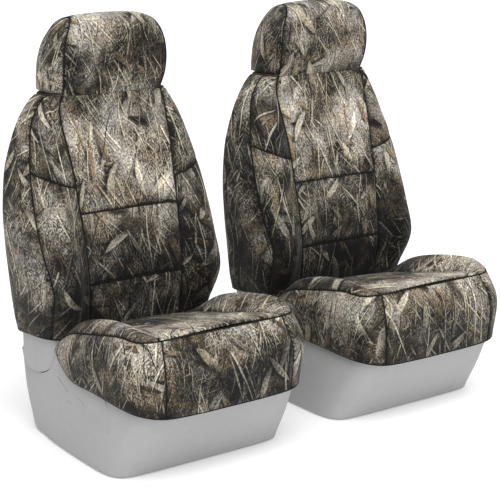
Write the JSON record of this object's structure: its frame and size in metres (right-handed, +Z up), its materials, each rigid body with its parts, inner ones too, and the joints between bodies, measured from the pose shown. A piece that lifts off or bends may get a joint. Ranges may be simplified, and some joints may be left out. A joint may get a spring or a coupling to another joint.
{
  "type": "seat cover set",
  "caption": "Fitted camouflage covers for a pair of reclining high-back bucket seats, each with a hooded back cover and a separate cushion cover.",
  "frame": {"origin": "on the floor, under the middle of the pair", "axes": "+Z up, the seats face -Y, +X to a viewer's right when looking at their fronts"},
  "size_m": [1.3538, 0.6877, 1.1466],
  "materials": {
    "camo_fabric": "matte",
    "seat_form": "matte",
    "elastic": "matte",
    "steel": "satin",
    "zinc": "satin",
    "nylon": "satin"
  },
  "bodies": {
    "root": {"left_base_form": "seat_form", "left_recliner_bracket": "steel", "left_cushion_top_panel": "camo_fabric", "left_cushion_bolster_left": "camo_fabric", "left_cushion_bolster_right": "camo_fabric", "left_cushion_front_panel": "camo_fabric", "left_cushion_side_left": "camo_fabric", "left_cushion_side_right": "camo_fabric", "left_cushion_hem_elastic": "elastic", "right_base_form": "seat_form", "right_recliner_bracket": "steel", "right_cushion_top_panel": "camo_fabric", "right_cushion_bolster_left": "camo_fabric", "right_cushion_bolster_right": "camo_fabric", "right_cushion_front_panel": "camo_fabric", "right_cushion_side_left": "camo_fabric", "right_cushion_side_right": "camo_fabric", "right_cushion_hem_elastic": "elastic"},
    "left_back": {"left_back_form": "seat_form", "left_recliner_shaft": "steel", "left_back_lower_panel": "camo_fabric", "left_back_middle_panel": "camo_fabric", "left_back_upper_panel": "camo_fabric", "left_bolster_lower_left": "camo_fabric", "left_bolster_lower_right": "camo_fabric", "left_bolster_upper_left": "camo_fabric", "left_bolster_upper_right": "camo_fabric", "left_back_gusset_left": "camo_fabric", "left_back_gusset_right": "camo_fabric", "left_back_rear_panel": "camo_fabric", "left_headrest_front_panel": "camo_fabric", "left_headrest_rear_panel": "camo_fabric", "left_headrest_gusset_left": "camo_fabric", "left_headrest_gusset_right": "camo_fabric", "left_back_hem_elastic": "elastic", "left_zipper_chain": "nylon"},
    "left_slider": {"left_zipper_slider": "zinc"},
    "left_pull": {"left_zipper_pull": "zinc"},
    "right_back": {"right_back_form": "seat_form", "right_recliner_shaft": "steel", "right_back_lower_panel": "camo_fabric", "right_back_middle_panel": "camo_fabric", "right_back_upper_panel": "camo_fabric", "right_bolster_lower_left": "camo_fabric", "right_bolster_lower_right": "camo_fabric", "right_bolster_upper_left": "camo_fabric", "right_bolster_upper_right": "camo_fabric", "right_back_gusset_left": "camo_fabric", "right_back_gusset_right": "camo_fabric", "right_back_rear_panel": "camo_fabric", "right_headrest_front_panel": "camo_fabric", "right_headrest_rear_panel": "camo_fabric", "right_headrest_gusset_left": "camo_fabric", "right_headrest_gusset_right": "camo_fabric", "right_back_hem_elastic": "elastic", "right_zipper_chain": "nylon"},
    "right_slider": {"right_zipper_slider": "zinc"},
    "right_pull": {"right_zipper_pull": "zinc"}
  },
  "joints": [
    {"name": "left_recline", "type": "hinge", "parent": "root", "child": "left_back", "pos_m": [-0.3715, 0.2139, 0.3], "axis": [-1, 0, 0], "range_deg": [0, 45]},
    {"name": "left_zip_slide", "type": "slide", "parent": "left_back", "child": "left_slider", "axis": [0, 0, 1], "range_m": [0, 0.33]},
    {"name": "left_pull_swing", "type": "hinge", "parent": "left_slider", "child": "left_pull", "pos_m": [-0.3715, 0.3302, 0.375], "axis": [1, 0, 0], "range_deg": [0, 170]},
    {"name": "right_recline", "type": "hinge", "parent": "root", "child": "right_back", "pos_m": [0.3715, 0.2139, 0.3], "axis": [-1, 0, 0], "range_deg": [0, 45]},
    {"name": "right_zip_slide", "type": "slide", "parent": "right_back", "child": "right_slider", "axis": [0, 0, 1], "range_m": [0, 0.33]},
    {"name": "right_pull_swing", "type": "hinge", "parent": "right_slider", "child": "right_pull", "pos_m": [0.3715, 0.3302, 0.375], "axis": [1, 0, 0], "range_deg": [0, 170]}
  ]
}
